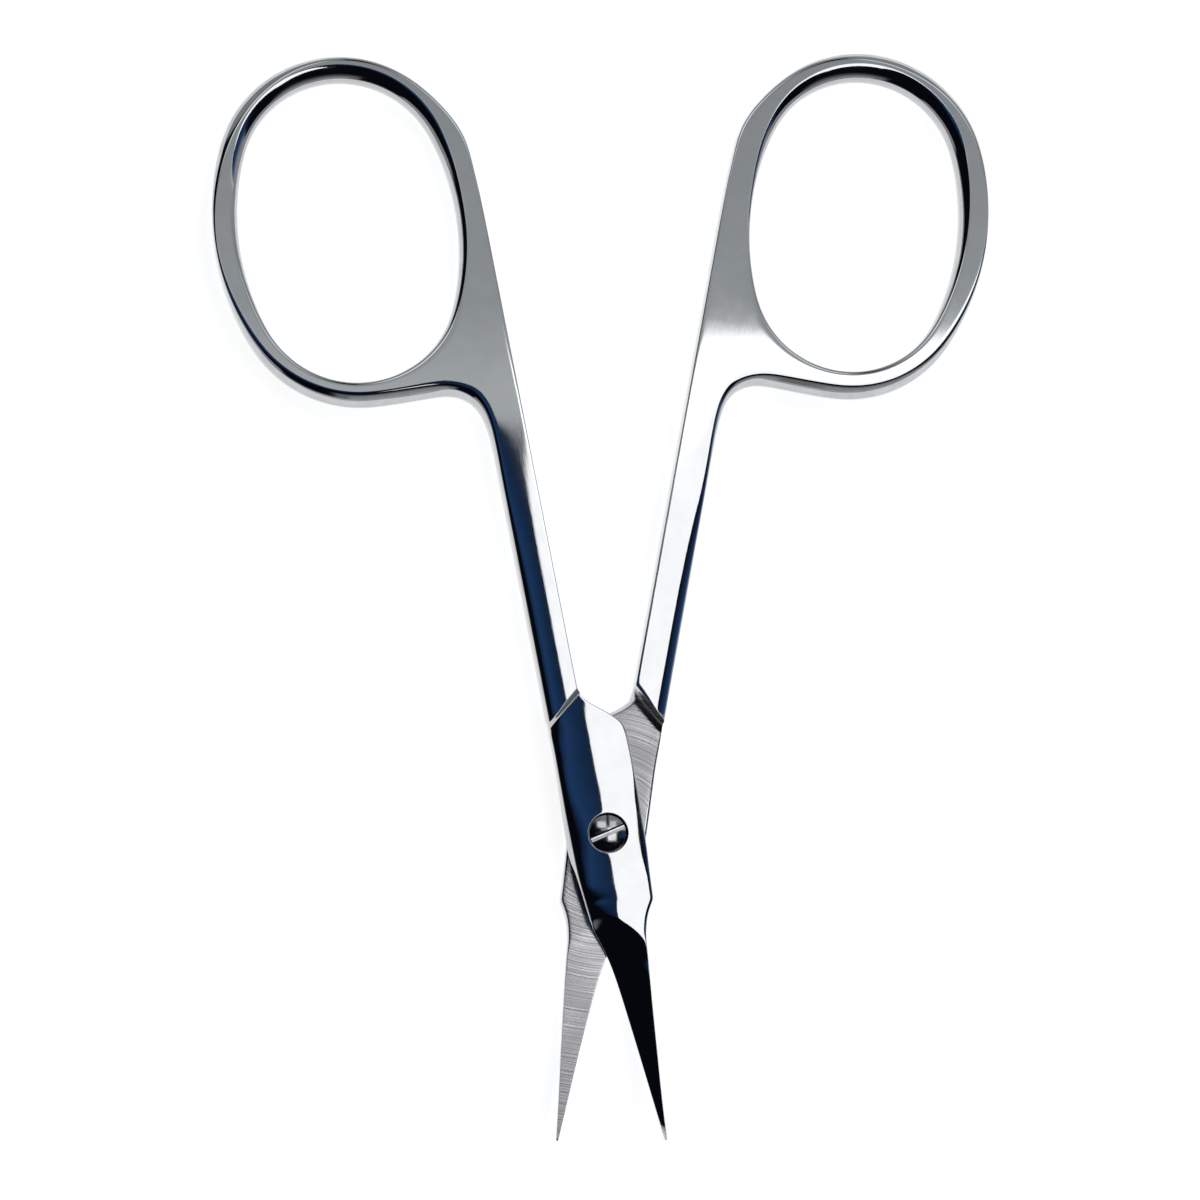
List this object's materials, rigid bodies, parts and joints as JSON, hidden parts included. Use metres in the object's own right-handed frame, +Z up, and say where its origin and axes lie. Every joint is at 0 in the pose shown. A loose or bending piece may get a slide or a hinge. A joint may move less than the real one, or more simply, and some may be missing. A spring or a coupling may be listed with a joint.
{
  "type": "cuticle scissors",
  "caption": "Slim steel cuticle scissors with oval finger rings, a slotted pivot screw and short fine blades that curve up to sharp tips.",
  "frame": {"origin": "on the ground, under the middle of the outline of the open scissors", "axes": "+Y from the blade tips to the finger rings, +Z up, out of the screw's head, +X to the back half's ring"},
  "size_m": [0.0736, 0.1032, 0.0058],
  "materials": {
    "front_half": "polished",
    "back_half": "polished",
    "pivot_screw": "polished"
  },
  "bodies": {
    "back_half": {"back_half": "back_half"},
    "front_half": {"front_half": "front_half"},
    "pivot_screw": {"pivot_screw": "pivot_screw"}
  },
  "joints": [
    {"name": "blade_pivot", "type": "hinge", "parent": "back_half", "child": "front_half", "pos_m": [-0.00014, -0.02332, 0.0023], "axis": [0, 0, 1], "range_deg": [-21.4, 130]},
    {"name": "screw_turn", "type": "hinge", "parent": "back_half", "child": "pivot_screw", "pos_m": [-0.00014, -0.02332, 0.0023], "axis": [0, 0, 1], "range_deg": [-45, 45]}
  ]
}
